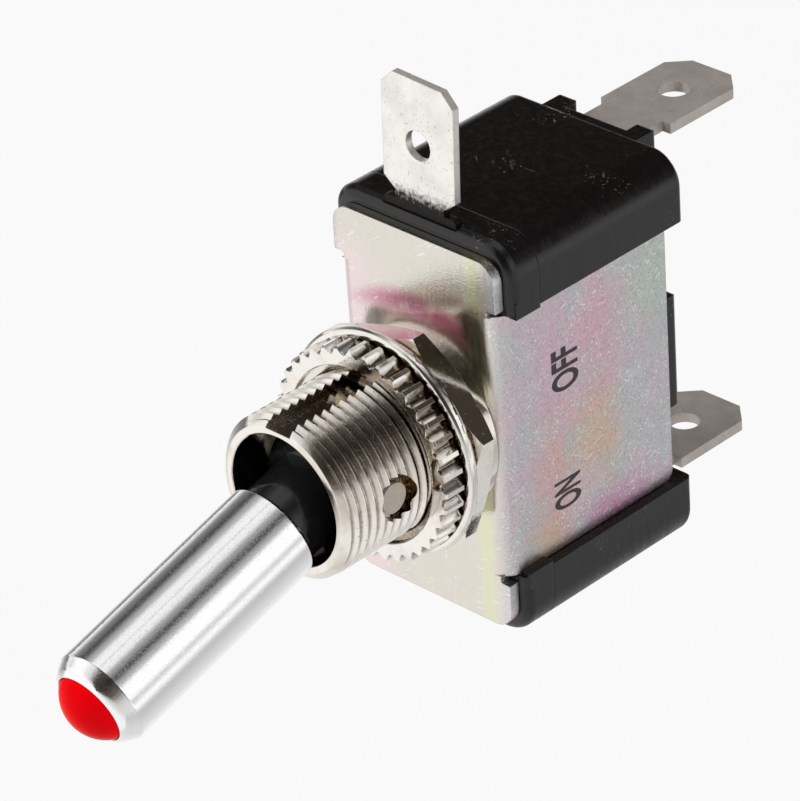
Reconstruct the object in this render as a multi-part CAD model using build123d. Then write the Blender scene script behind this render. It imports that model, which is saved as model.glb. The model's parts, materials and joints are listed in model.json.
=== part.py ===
"""Panel toggle switch with a lit lever, single pole, on and off, millimetres.

The origin is on the bushing's axis at the front face of the bracket's web. The lever points out of
the panel along -Y, the printed flange faces +X, and +Z points to the end that the lever's OFF side
is on. The lever stands at ON, tipped down, as it rests.
"""
from build123d import *
import math
import os

os.makedirs("parts", exist_ok=True)

# Clearances
fit_gap = 0.05
seat_gap = 0.04
free_gap = 0.12

# Bracket: one folded sheet
sheet = 0.8
bracket_width = 14.6
web_height = 28.1
flange_height = 20.1
bracket_depth = 16.58
bend_radius = 1.5
tongue_radius = 1.5
notch_width = 0.5
notch_depth = 0.85
flange_corner = 0.8
lug_width = 3.6
lug_length = 2.4
lug_spacing = 14.8

# Bushing and its nuts
thread_radius = 5.95
engaged_radius = 5.7
engaged_end = 6.1
thread_length = 13.2
mouth_radius = 5.4
mouth_chamfer = 0.6
bore_radius = 4.77
collar_radius = 6.9
collar_thickness = 0.8
shank_radius = 5.5
stake_radius = 6.0
stake_height = 0.55
flare_radius = 5.2
keyway_width = 2.2
keyway_floor = 5.15
keyway_end = 5.0
pin_radius = 1.1
pin_recess = 0.45
cross_hole_radius = 1.6
cross_hole_depth = 0.65
cross_hole_shift = 0.15
bushing_seam = -46.0
nut_clearance = 0.05
hex_flats = 14.5
hex_thickness = 2.4
hex_turn = 15.0
hex_chamfer = 0.75
hex_face_inset = 0.35
dress_rim_radius = 8.3
dress_rim = 0.75
dress_groove_radius = 7.15
dress_groove = 0.35
dress_crest_radius = 7.85
dress_front_chamfer = 0.1
dress_height = 2.7
dress_recess_radius = 6.5
dress_recess = 0.5
flute_count = 38
flute_width = 1.15
flute_floor_width = 0.08
flute_depth = 0.55
flute_phase = 2.0

# Lever, straight along its own axis from the pivot
pivot_depth = 8.45
lever_tilt = 16.3
lever_radius = 3.55
tube_start = 6.05
tube_end = 23.95
tip_length = 1.2
tip_step = 0.5
tip_step_inset = 0.35
tube_bore = 2.75
tube_lip = 3.6
lamp_radius = 2.58
lamp_stand_out = 1.4
lamp_flange = 0.8
lamp_flange_radius = 2.7
neck_radius = 3.05
spigot_length = 5.5
ball_radius = 4.4
ball_shoulder = 2.4
tail_radius = 1.6
tail_cone_radius = 3.4
tail_cone_start = 2.0
tail_cone_end = 5.6
tail_length = 12.0
spring_bore = 1.1
spring_seat = 4.2
plunger_reach = 14.8
plunger_length = 7.2
spring_wire = 0.15
spring_turns = 4.5
wire_sides = 6
lead_radius = 0.25
lead_height = 1.5
lead_spread = 1.27
lead_set = 2.4
lead_straight = 0.5
resistor_radius = 0.9
resistor_length = 3.4
resistor_lead = 2.6
cathode_straight = 1.6
cathode_bend = 2.6
cathode_end = 4.4

# Rocker and contacts
rocker_tilt = 6.0
rocker_sheet = 0.8
rocker_width = 6.4
rocker_reach = 7.1
dish_reach = 4.9
roll_radius = 0.7
roll_overhang = 0.6
wing_corner = 0.8
contact_height = 6.1
contact_radius = 1.3
contact_thickness = 0.9
contact_rim = 0.54
contact_dome_radius = 3.2
rivet_tail_height = 0.3
rivet_radius = 0.6
support_width = 4.4
support_sheet = 0.6
support_height = 3.6
support_rivet_radius = 0.8
support_rivet_head = 1.4
support_rivet_head_height = 0.45

# Blade terminals
blade_width = 6.3
blade_sheet = 0.8
blade_length = 7.95
blade_chamfer = 1.4
blade_hole_radius = 1.15
blade_hole_inset = 4.0
neck_width = 4.9
shoulder_stand_off = 4.38
supply_height = 13.94
load_height = -12.74
ground_face = 1.2
ground_sheet = 0.55
ground_shift = -0.25
ground_top = 24.87
ground_width = 6.4
ground_neck_width = 4.4
ground_neck = (15.5, 16.85)
ground_shoulder_drop = 0.8
ground_foot_width = 6.5
ground_foot_end = 7.4
ground_stem = 2.5
ground_lean = 2.5
ground_hole_height = 20.1
ground_hole_radius = 1.1
ground_chamfer = 1.0
leaf_sheet = 0.3
leaf_width = 3.0
leaf_length = 3.2

# Housing
block_width = 16.1
housing_height = 30.08
housing_depth = 17.75
cover_depth = 3.5
printed_edge_radius = 2.4
plain_edge_radius = 1.8
front_edge_radius = 0.8
rear_edge_radius = 0.5
ear_drop = 0.2
ear_start = 1.2
wall = 1.25
rear_wall = 1.5
cavity_height = 17.6
cavity_width = 9.2
slot_gap = 0.06
tail_slot_width = 4.6
tail_slot_height = 11.2
post_width = 1.45
post_height = 2.9
post_stand_out = 1.8
post_gap = 5.6
rib_height = 8.7
rib_shift = -0.8
rib_stand_out = 2.85
rib_recess = 1.0
stop_width = 1.6

# Places that follow from the sizes above
flange_face = bracket_width / 2
flange_inside = flange_face - sheet
middle_half = flange_inside - fit_gap
middle_rear = bracket_depth - sheet - seat_gap
rocker_pivot = plunger_reach - pivot_depth + free_gap + rocker_sheet
stake_rear = sheet + stake_height


def block(x, y, z):
    """A block between low and high faces along each axis."""
    size = Box(x[1] - x[0], y[1] - y[0], z[1] - z[0])
    return Pos((x[0] + x[1]) / 2, (y[0] + y[1]) / 2, (z[0] + z[1]) / 2) * size


def turned(*points):
    """A solid turned about the Y axis from (radius, y) points."""
    profile = make_face(Polyline(*points, close=True))
    return revolve(profile, axis=Axis.Y)


def rod_y(radius, y, x=0.0, z=0.0):
    """A round rod along Y between two places."""
    return Pos(x, (y[0] + y[1]) / 2, z) * Rot(90, 0, 0) * Cylinder(radius, y[1] - y[0])


def rod_x(radius, x, y=0.0, z=0.0):
    """A round rod along X between two places."""
    return Pos((x[0] + x[1]) / 2, y, z) * Rot(0, 90, 0) * Cylinder(radius, x[1] - x[0])


def side_profile(points, x):
    """A solid with the outline of (y, z) points, between two places along X."""
    face = make_face(Polyline(*points, close=True))
    return extrude(Plane.YZ.offset(x[0]) * face, x[1] - x[0])


def mirrored_z(solid):
    """The solid and its mirror image at the other end."""
    return solid + mirror(solid, about=Plane.XY)


def keep(name, solid):
    """Writes one piece to its own file."""
    solid.label = name
    export_step(solid, f"parts/{name}.step")


def at_lever(solid):
    """Takes a piece from the straight lever to its place at ON."""
    return Pos(0, -pivot_depth, 0) * Rot(lever_tilt, 0, 0) * solid


def at_rocker(solid):
    """Takes a piece from the level rocker to its place at ON."""
    return Pos(0, rocker_pivot, 0) * Rot(-rocker_tilt, 0, 0) * solid


def make_bracket():
    """The web with its tongues, the two flanges and the lugs that close over the base."""
    outer = Rectangle(bracket_width, bracket_depth, align=(Align.CENTER, Align.MIN))
    outer = fillet(outer.vertices().sort_by(Axis.Y)[:2], bend_radius)
    inner_width = bracket_width - 2 * sheet
    inner = Pos(0, sheet) * Rectangle(inner_width, bracket_depth, align=(Align.CENTER, Align.MIN))
    inner = fillet(inner.vertices().sort_by(Axis.Y)[:2], bend_radius - sheet)
    folded = extrude(outer - inner, flange_height / 2, both=True)
    rear = folded.edges().filter_by(Axis.X).group_by(Axis.Y)[-1]
    folded = fillet(rear, flange_corner)

    web = Plane.XZ * RectangleRounded(bracket_width, web_height, tongue_radius)
    web = extrude(web, -sheet)
    bend_start = flange_face - bend_radius
    notch_root = flange_face - notch_depth
    notch_end = flange_height / 2 + notch_width
    for side in (-1, 1):
        near, far = sorted((side * bend_start, side * (flange_face + 1)))
        web -= block((near, far), (-1, sheet + 1), (-flange_height / 2, flange_height / 2))
        near, far = sorted((side * (notch_root + notch_width / 2), side * (flange_face + 1)))
        slot = block((near, far), (-1, sheet + 1), (flange_height / 2, notch_end))
        round_end = rod_y(notch_width / 2, (-1, sheet + 1), side * (notch_root + notch_width / 2),
                          flange_height / 2 + notch_width / 2)
        web -= mirrored_z(slot + round_end)
    bracket = web + folded
    bracket -= rod_y(shank_radius + fit_gap, (-1, sheet + 1))

    lug_rear = (bracket_depth - sheet, bracket_depth)
    for side in (-1, 1):
        near, far = sorted((side * (flange_face - lug_length), side * (flange_face - 0.2)))
        for end in (-1, 1):
            middle = end * lug_spacing / 2
            lug = block((near, far), lug_rear, (middle - lug_width / 2, middle + lug_width / 2))
            bracket += lug
    return bracket


def make_bushing():
    """The threaded neck, staked into the web, with its keyway and cross holes.

    The thread is a plain cylinder of its crest radius in front of the nuts, and of its pitch radius
    where they are.
    """
    flare = flare_radius - bore_radius
    bushing = turned((bore_radius, -thread_length), (mouth_radius, -thread_length),
                     (thread_radius, -thread_length + mouth_chamfer), (thread_radius, -engaged_end),
                     (engaged_radius, -engaged_end), (engaged_radius, -collar_thickness),
                     (collar_radius, -collar_thickness), (collar_radius, 0), (shank_radius, 0),
                     (shank_radius, sheet), (stake_radius, sheet), (stake_radius - 0.15, stake_rear),
                     (flare_radius, stake_rear), (bore_radius, stake_rear - 2 * flare))
    bushing = Rot(0, bushing_seam, 0) * bushing
    bushing -= block((-keyway_width / 2, keyway_width / 2), (-thread_length - 1, -keyway_end),
                     (keyway_floor, thread_radius + 1))
    bushing -= rod_x(pin_radius + 0.02, (-thread_radius - 1, thread_radius + 1), -pivot_depth)
    for side in (-1, 1):
        near, far = sorted((side * (thread_radius - cross_hole_depth), side * (thread_radius + 1)))
        bushing -= rod_x(cross_hole_radius, (near, far), -pivot_depth + cross_hole_shift)
    return bushing


def make_hex_nut():
    """A hexagon with both faces chamfered at the corners."""
    rear = -collar_thickness - seat_gap
    front = rear - hex_thickness
    corner = hex_flats / math.sqrt(3)
    prism = Plane.XZ * Rot(0, 0, hex_turn) * RegularPolygon(corner, 6)
    nut = Pos(0, rear, 0) * extrude(prism, hex_thickness)
    flat = hex_flats / 2 - hex_face_inset
    nut &= turned((0, rear), (flat, rear), (corner + 0.1, rear - hex_chamfer),
                  (corner + 0.1, front + hex_chamfer), (flat, front), (0, front))
    nut -= rod_y(engaged_radius + nut_clearance, (front - 1, rear + 1))
    return nut


def make_dress_nut():
    """The round nut that clamps the panel: a smooth rim, a groove and fluted crests."""
    rear = -collar_thickness - hex_thickness - 2 * seat_gap
    groove_rear = rear - dress_rim
    crest_rear = groove_rear - dress_groove
    front = rear - dress_height
    bore = thread_radius + nut_clearance
    nut = turned((bore, rear), (dress_rim_radius - 0.3, rear), (dress_rim_radius, rear - 0.3),
                 (dress_rim_radius - 0.15, groove_rear), (dress_groove_radius, groove_rear),
                 (dress_groove_radius, crest_rear), (dress_crest_radius, crest_rear),
                 (dress_crest_radius, front + dress_front_chamfer),
                 (dress_crest_radius - dress_front_chamfer, front),
                 (dress_recess_radius, front), (bore, front + dress_recess))
    floor = dress_crest_radius - flute_depth
    wide, slim = flute_width / 2, flute_floor_width / 2
    flute = Polyline((-slim, floor), (slim, floor), (wide, dress_crest_radius + 0.05),
                     (-wide, dress_crest_radius + 0.05), close=True)
    flute = Pos(0, crest_rear - 0.02, 0) * extrude(Plane.XZ * make_face(flute), dress_height)
    for step in range(flute_count):
        nut -= Rot(0, flute_phase + step * 360 / flute_count, 0) * flute
    return nut


def make_pivot_pin():
    """The pin that the lever turns on, headless, just inside the cross holes."""
    end = thread_radius - pin_recess
    return rod_x(pin_radius, (-end, end), -pivot_depth)


def make_lever_tube():
    """The chromed tube with its bevelled tip, along -Y from the straight lever's pivot."""
    lip_start = tube_end - tube_lip
    tube = turned((tube_bore, -tube_start), (lever_radius - 0.25, -tube_start),
                  (lever_radius, -tube_start - 0.25), (lever_radius, -tube_end + tip_length),
                  (lever_radius - tip_step_inset, -tube_end + tip_step),
                  (lamp_radius + 2 * fit_gap, -tube_end), (lamp_radius + fit_gap, -tube_end),
                  (lamp_radius + fit_gap, -lip_start), (tube_bore, -lip_start))
    return at_lever(tube)


def lead_path(height, start, end):
    """A lead that comes in along the lever and bends to its axis behind the pivot."""
    return FilletPolyline((0, start, height), (0, spring_seat - lead_set, height),
                          (0, end - lead_straight, 0), (0, end, 0), radius=0.5)


def swept(radius, path):
    """A round wire along a path."""
    return sweep(Plane(origin=path @ 0, z_dir=path % 0) * Circle(radius), path=path)


lamp_rear = tube_end - tube_lip - 0.02
resistor_end = lamp_rear - lamp_flange - resistor_lead
resistor_start = resistor_end - resistor_length
spigot_end = tube_start + spigot_length


def make_actuator():
    """The black moulding in the mouth: spigot, neck, ball round the pin, and hollow tail."""
    ball = Sphere(ball_radius)
    ball &= block((-9, 9), (-ball_shoulder, 9), (-9, 9))
    body = ball + rod_y(neck_radius, (-tube_start + seat_gap, 0))
    body += rod_y(tube_bore - fit_gap, (-spigot_end, -tube_start + seat_gap))
    body += rod_y(tail_radius, (0, tail_length))
    body += turned((0, 0), (tail_cone_radius, tail_cone_start), (tail_radius, tail_cone_end),
                   (0, tail_cone_end))
    body -= rod_x(pin_radius + fit_gap, (-ball_radius - 1, ball_radius + 1))
    body -= rod_y(spring_bore, (spring_seat, tail_length + 1))
    body -= swept(lead_radius + 0.15, lead_path(lead_height, -spigot_end - 0.5, spring_seat + 0.1))
    return at_lever(body)


def make_lamp():
    """A round lamp with a low domed front and a flange that stops behind the tube's lip."""
    dome_radius = (lamp_radius ** 2 + lamp_stand_out ** 2) / (2 * lamp_stand_out)
    centre = tube_end + lamp_stand_out - dome_radius
    body = Pos(0, -centre, 0) * Sphere(dome_radius)
    body &= rod_y(lamp_radius, (-tube_end - lamp_stand_out - 1, -lamp_rear + 0.1))
    body += rod_y(lamp_flange_radius, (-lamp_rear, -lamp_rear + lamp_flange))
    return at_lever(body)


def make_anode_lead():
    """From the resistor past the pin to the spring's seat."""
    path = lead_path(lead_height, -resistor_start + 0.02, spring_seat)
    return at_lever(swept(lead_radius, path))


def make_resistor():
    """The series resistor between the lamp and the long lead, with its own short lead."""
    body = rod_y(resistor_radius, (-resistor_end, -resistor_start), 0, lead_height)
    body = fillet(body.edges(), 0.3)
    lead = rod_y(lead_radius, (-lamp_rear + lamp_flange + 0.02, -resistor_end + 0.1), 0, lead_height)
    return at_lever(body + lead)


def make_cathode_lead():
    """From the lamp down to the tube's wall, which carries the return current."""
    start = -lamp_rear + lamp_flange + 0.02
    low = -tube_bore + lead_radius + 0.03
    path = FilletPolyline((0, start, -lead_spread), (0, start + cathode_straight, -lead_spread),
                          (0, start + cathode_bend, low), (0, start + cathode_end, low), radius=0.5)
    return at_lever(swept(lead_radius, path))


def make_plunger():
    """The round-nosed plunger that presses on the rocker."""
    radius = spring_bore - fit_gap
    centre = plunger_reach - radius
    body = rod_y(radius, (plunger_reach - plunger_length, centre)) + Pos(0, centre, 0) * Sphere(radius)
    return at_lever(body)


def make_plunger_spring():
    """A coil spring between its seat and the plunger, its round wire drawn with few sides."""
    start = spring_seat + spring_wire + 0.03
    length = plunger_reach - plunger_length - start - spring_wire - 0.03
    coil_radius = spring_bore - spring_wire - 0.08
    path = Helix(pitch=length / spring_turns, height=length, radius=coil_radius)
    section = Plane(origin=path @ 0, z_dir=path % 0) * RegularPolygon(spring_wire, wire_sides)
    wire = sweep(section, path=path, is_frenet=True)
    return at_lever(Pos(0, start, 0) * Rot(-90, 0, 0) * wire)


def dish_radius():
    """The radius of the dish that follows the plunger's tip as lever and rocker turn."""
    tilt = math.radians(lever_tilt)
    turn = math.radians(rocker_tilt)
    back = plunger_reach * math.cos(tilt) - pivot_depth - rocker_pivot
    side = plunger_reach * math.sin(tilt)
    along = back * math.cos(turn) - side * math.sin(turn)
    across = back * math.sin(turn) + side * math.cos(turn)
    depth = -(along + free_gap + rocker_sheet)
    return (across ** 2 + depth ** 2) / (2 * depth)


def wing_place():
    """How far the wings' rear faces lie in front of the rocker's pivot."""
    radius = dish_radius() + rocker_sheet
    return radius - math.sqrt(radius ** 2 - dish_reach ** 2)


def make_rocker():
    """A dished strip with flat wings, and a roll behind it that it tips on."""
    radius = dish_radius()
    centre = -radius - rocker_sheet
    ring = rod_x(radius + rocker_sheet, (-rocker_width / 2, rocker_width / 2), centre)
    ring -= rod_x(radius, (-rocker_width / 2 - 1, rocker_width / 2 + 1), centre)
    dish = ring & block((-9, 9), (-9, 1), (-dish_reach, dish_reach))
    back = -wing_place()
    wing = block((-rocker_width / 2, rocker_width / 2), (back - rocker_sheet, back),
                 (dish_reach - 0.35, rocker_reach))
    wing = fillet(wing.edges().filter_by(Axis.Y).group_by(Axis.Z)[-1], wing_corner)
    roll_half = support_width / 2 + roll_overhang
    body = dish + mirrored_z(wing) + rod_x(roll_radius, (-roll_half, roll_half))
    body -= rod_y(rivet_radius, (back - rocker_sheet - 1, back + 1), 0, contact_height)
    return at_rocker(body)


def make_moving_contact():
    """A domed rivet head on the rear of the rocker's upper wing."""
    back = -wing_place()
    head = rod_y(contact_radius, (back, back + contact_rim), 0, contact_height)
    dome = Pos(0, back + contact_thickness - contact_dome_radius, contact_height)
    dome = dome * Sphere(contact_dome_radius)
    dome &= rod_y(contact_radius, (back, back + contact_thickness + 1), 0, contact_height)
    shank = rod_y(rivet_radius - 0.01, (back - rocker_sheet, back + 0.1), 0, contact_height)
    tail_end = back - rocker_sheet - rivet_tail_height
    tail = rod_y(rivet_radius + 0.3, (tail_end, back - rocker_sheet), 0, contact_height)
    return at_rocker(head + dome + shank + tail)


def contact_place():
    """Where the moving contact's crown is at ON, as (y, z)."""
    turn = math.radians(rocker_tilt)
    along = contact_thickness - wing_place()
    y = along * math.cos(turn) + contact_height * math.sin(turn)
    z = contact_height * math.cos(turn) - along * math.sin(turn)
    return rocker_pivot + y, z


contact_face = contact_place()[0] + seat_gap
leg_face = contact_face + contact_thickness


def blade_outline(width, neck, root, shoulder, tip, chamfer):
    """A quick-connect blade from its root to its tip, as (across, along) points."""
    half, slim = width / 2, neck / 2
    return [(-slim, root), (slim, root), (slim, shoulder), (half, shoulder), (half, tip - chamfer),
            (half - chamfer, tip), (-half + chamfer, tip), (-half, tip - chamfer), (-half, shoulder),
            (-slim, shoulder)]


def rear_blade(top, root):
    """A flat blade that points backwards, with its hole."""
    shoulder = housing_depth + shoulder_stand_off
    tip = shoulder + blade_length
    outline = blade_outline(blade_width, neck_width, root, shoulder, tip, blade_chamfer)
    face = Pos(0, 0, top - blade_sheet) * make_face(Polyline(*outline, close=True))
    blade = extrude(face, blade_sheet)
    hole = Pos(0, tip - blade_hole_inset, top) * Cylinder(blade_hole_radius, 3 * blade_sheet)
    blade -= hole
    return blade


def make_supply_terminal():
    """The upper rear blade, bent down to carry the fixed contact."""
    terminal = rear_blade(supply_height, leg_face)
    low = contact_place()[1] - contact_radius - 0.4
    leg = block((-neck_width / 2, neck_width / 2), (leg_face, leg_face + blade_sheet), (low, supply_height))
    terminal += leg
    corner = terminal.edges().filter_by(Axis.X).sort_by_distance((0, leg_face, supply_height))[0]
    terminal = fillet(corner, blade_sheet * 0.9)
    terminal -= rod_y(rivet_radius, (leg_face - 1, leg_face + blade_sheet + 1), 0, contact_place()[1])
    return terminal


def make_fixed_contact():
    """A flat rivet that the moving contact closes on."""
    z = contact_place()[1]
    head = rod_y(contact_radius, (contact_face, leg_face), 0, z)
    shank = rod_y(rivet_radius - 0.01, (leg_face - 0.1, leg_face + blade_sheet), 0, z)
    leg_rear = leg_face + blade_sheet
    tail = rod_y(rivet_radius + 0.3, (leg_rear, leg_rear + rivet_tail_height), 0, z)
    return head + shank + tail


load_leg = middle_rear - rear_wall - fit_gap - blade_sheet


def make_load_terminal():
    """The lower rear blade, bent up along the rear wall to the rocker's support."""
    terminal = rear_blade(load_height, load_leg)
    leg = block((-neck_width / 2, neck_width / 2), (load_leg, load_leg + blade_sheet),
                (load_height - blade_sheet, support_height / 2))
    terminal += leg
    terminal -= rod_y(support_rivet_radius, (load_leg - 1, load_leg + blade_sheet + 1))
    return terminal


def make_rocker_support():
    """A stamped saddle: a back plate and two ears, each notched for the rocker's roll."""
    half = support_width / 2
    back = (load_leg - support_sheet, load_leg)
    high = support_height / 2
    saddle = block((-half, half), back, (-high, high))
    for side in (-1, 1):
        near, far = sorted((side * half, side * (half - support_sheet)))
        saddle += block((near, far), (rocker_pivot, load_leg), (-high, high))
    saddle -= rod_x(roll_radius + fit_gap, (-half - 1, half + 1), rocker_pivot)
    cut = dish_radius() + rocker_sheet + free_gap
    saddle -= rod_x(cut, (-half - 1, half + 1), rocker_pivot - rocker_sheet - dish_radius())
    for side in (-1, 1):
        wedge = Pos(0, rocker_pivot, 0) * Rot(side * (rocker_tilt + 3), 0, 0)
        clear = wedge * block((-half - 1, half + 1), (-3, 0.28), (-high - 2, high + 2))
        saddle -= clear
    saddle -= rod_y(support_rivet_radius, (load_leg - 2, load_leg + 1))
    return saddle


def make_support_rivet():
    """Holds the saddle to the load terminal's leg."""
    front = load_leg - support_sheet
    rear = load_leg + blade_sheet
    shank = rod_y(support_rivet_radius - 0.01, (front - 0.1, rear + 0.1))
    for low, high in ((front - support_rivet_head_height, front), (rear, rear + support_rivet_head_height)):
        shank += rod_y(support_rivet_head, (low, high))
    return shank


def make_ground_terminal():
    """The upright blade beside the web, with the lamp's return current."""
    face = (ground_face, ground_face + ground_sheet)
    neck_low, neck_high = ground_neck
    bend = housing_height / 2
    half, slim, foot = ground_width / 2, ground_neck_width / 2, ground_foot_width / 2
    corner = ground_chamfer
    top = ground_top - bend
    shoulder = neck_high - bend
    root = shoulder - ground_shoulder_drop
    outline = [(-slim, 0), (slim, 0), (slim, root), (half, shoulder), (half, top - corner),
               (half - corner, top), (-half + corner, top), (-half, top - corner),
               (-half, shoulder), (-slim, root)]
    upper = Plane.XZ.offset(-face[1]) * make_face(Polyline(*outline, close=True))
    upper = extrude(upper, ground_sheet)
    upper -= rod_y(ground_hole_radius, (face[0] - 1, face[1] + 1), 0, ground_hole_height - bend)
    upper += block((-slim, slim), face, (-0.3, 0.1))
    upper = Pos(0, 0, bend) * Rot(0, ground_lean, 0) * upper
    lower = block((-foot, foot), face, (ground_foot_end + ground_stem, neck_low))
    lower = fillet(lower.edges().filter_by(Axis.Y).group_by(Axis.Z)[-1], 0.3)
    stem = block((-leaf_width / 2, leaf_width / 2), face,
                 (ground_foot_end, ground_foot_end + ground_stem + 0.5))
    return Pos(ground_shift, 0, 0) * (upper + lower + stem)


def make_ground_leaf():
    """A spring strip on the ground terminal's foot that bears on the bushing's staked rim."""
    front = ground_face + ground_sheet
    low = stake_radius - 0.5
    touch = stake_rear + fit_gap
    outline = [(front, ground_foot_end + leaf_length), (front, ground_foot_end - 0.1),
               (touch, low + 0.2), (touch, low - 0.1), (touch + leaf_sheet, low - 0.1),
               (front + leaf_sheet, ground_foot_end - 0.3), (front + leaf_sheet, ground_foot_end + leaf_length)]
    return Pos(ground_shift, 0, 0) * side_profile(outline, (-leaf_width / 2, leaf_width / 2))


def end_blocks(y):
    """A block past the flanges' end, its long edges rounded, more so on the printed side."""
    half = block_width / 2
    top = housing_height / 2
    solid = block((-half, half), y, (flange_height / 2 + slot_gap, top))
    plain, printed = solid.edges().filter_by(Axis.Y).group_by(Axis.Z)[-1].sort_by(Axis.X)
    solid = fillet(printed, printed_edge_radius)
    plain = solid.edges().filter_by(Axis.Y).sort_by_distance((-half, y[0], top))[0]
    return fillet(plain, plain_edge_radius)


def make_cover():
    """The front moulding behind the web, with ears that overlap the flanges' outer faces."""
    front = sheet + fit_gap
    top = housing_height / 2
    half = block_width / 2
    ends = end_blocks((front, cover_depth))
    front_edges = ends.edges().group_by(Axis.Y)[0].sort_by(Axis.Z)[1:]
    ends = fillet(front_edges, front_edge_radius)
    ear_face = flange_face + slot_gap
    ear_low = flange_height / 2 - ear_drop
    for side in (-1, 1):
        near, far = sorted((side * ear_face, side * half))
        ear = block((near, far), (ear_start, cover_depth), (ear_low, flange_height / 2 + 1))
        ends += ear
    cover = mirrored_z(ends)
    middle = block((-middle_half, middle_half), (front, cover_depth), (-top + 1, top - 1))
    corner = middle.edges().filter_by(Axis.Z).group_by(Axis.Y)[0]
    cover += fillet(corner, bend_radius - sheet + fit_gap)
    cover -= rod_y(stake_radius + 0.15, (0, stake_rear + 0.1))
    slot_x, slot_z = tail_slot_width / 2, tail_slot_height / 2
    cover -= block((-slot_x, slot_x), (0, cover_depth + 1), (-slot_z, slot_z))
    face = (ground_face - slot_gap, ground_face + ground_sheet + slot_gap)
    foot = ground_foot_width / 2 + slot_gap
    cover -= block((ground_shift - foot, ground_shift + foot), face,
                   (ground_foot_end + ground_stem - 0.1, top + 1))
    leaf = leaf_width / 2 + slot_gap
    leaf_rear = ground_face + ground_sheet + leaf_sheet + slot_gap
    cover -= block((ground_shift - leaf, ground_shift + leaf), (face[0], leaf_rear),
                   (slot_z - 1, ground_foot_end + leaf_length + 0.2))
    return cover


def make_base():
    """The rear moulding: end blocks, middle between the flanges, cavity, posts and barrier."""
    top = housing_height / 2
    blocks = end_blocks((cover_depth + seat_gap, housing_depth))
    rear = blocks.edges().group_by(Axis.Y)[-1].sort_by(Axis.Z)[1:]
    blocks = fillet(rear, rear_edge_radius)
    base = mirrored_z(blocks)
    base += block((-middle_half, middle_half), (cover_depth + seat_gap, middle_rear), (-top + 3, top - 3))

    slim = neck_width / 2 + slot_gap
    floor = middle_rear - rear_wall
    half, high = cavity_width / 2, cavity_height / 2
    base -= block((-half, half), (cover_depth - 1, floor), (-high, high))
    base -= block((-slim, slim), (cover_depth - 1, leg_face + blade_sheet + slot_gap),
                  (high - 1, supply_height + slot_gap))
    base -= block((-slim, slim), (leg_face, housing_depth + 1),
                  (supply_height - blade_sheet - slot_gap, supply_height + slot_gap))
    base -= block((-slim, slim), (cover_depth - 1, floor), (load_height - blade_sheet - slot_gap, -high + 1))
    base -= block((-slim, slim), (floor - 1, housing_depth + 1),
                  (load_height - blade_sheet - slot_gap, load_height + slot_gap))
    base -= rod_y(support_rivet_head + 0.1, (floor - 1, floor + support_rivet_head_height + 0.1))

    wing_rear = rocker_pivot - wing_place() + rocker_reach * math.sin(math.radians(rocker_tilt))
    stop_front = wing_rear + free_gap
    for side in (-1, 1):
        near, far = sorted((side * (half + 0.5), side * (slim + 0.1)))
        base += block((near, far), (stop_front, floor + 0.5),
                      (-contact_height - stop_width / 2, -contact_height + stop_width / 2))

    base += rear_guards(supply_height - blade_sheet / 2, 1)
    base += rear_guards(load_height - blade_sheet / 2, -1)

    rib = block((-middle_half, middle_half), (middle_rear - 0.5, middle_rear + rib_stand_out),
                (rib_shift - rib_height / 2, rib_shift + rib_height / 2))
    rib = fillet(rib.edges().group_by(Axis.Y)[-1], 0.5)
    base += rib
    base -= block((-middle_half + wall, middle_half - wall),
                  (middle_rear + rib_stand_out - rib_recess, middle_rear + rib_stand_out + 1),
                  (rib_shift - rib_height / 2 + wall, rib_shift + rib_height / 2 - wall))
    return base


def rear_guards(blade_middle, end):
    """Two posts beside a blade's neck and the low wall between them."""
    top = housing_height / 2
    outer = end * (top - 0.02)
    inner = end * (top - post_height)
    low, high = sorted((outer, inner))
    guards = None
    for side in (-1, 1):
        near, far = sorted((side * post_gap / 2, side * (post_gap / 2 + post_width)))
        post = block((near, far), (housing_depth - 0.6, housing_depth + post_stand_out), (low, high))
        post = fillet(post.edges().group_by(Axis.Y)[-1], 0.45)
        guards = post if guards is None else guards + post
    lip_low, lip_high = sorted((outer, blade_middle + end * (blade_sheet / 2 + slot_gap + 0.02)))
    lip = block((-post_gap / 2 - 0.2, post_gap / 2 + 0.2), (housing_depth - 0.6, housing_depth + 0.35),
                (lip_low, lip_high))
    return guards + lip


pieces = {
    "bracket": make_bracket,
    "bushing": make_bushing,
    "hex_nut": make_hex_nut,
    "dress_nut": make_dress_nut,
    "pivot_pin": make_pivot_pin,
    "lever_tube": make_lever_tube,
    "actuator": make_actuator,
    "led_lamp": make_lamp,
    "anode_lead": make_anode_lead,
    "series_resistor": make_resistor,
    "cathode_lead": make_cathode_lead,
    "plunger": make_plunger,
    "plunger_spring": make_plunger_spring,
    "rocker": make_rocker,
    "moving_contact": make_moving_contact,
    "supply_terminal": make_supply_terminal,
    "fixed_contact": make_fixed_contact,
    "load_terminal": make_load_terminal,
    "rocker_support": make_rocker_support,
    "support_rivet": make_support_rivet,
    "ground_terminal": make_ground_terminal,
    "ground_leaf": make_ground_leaf,
    "housing_cover": make_cover,
    "housing_base": make_base,
}

for name, make in pieces.items():
    keep(name, make())
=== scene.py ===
"""Panel toggle switch with a lit lever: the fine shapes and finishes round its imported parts, in metres.

The bushing's axis is the Y axis, the lever points out along -Y, and the printed flange faces +X.
"""
import json
import math

import bmesh
import bpy
from mathutils import Matrix, Vector


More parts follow.
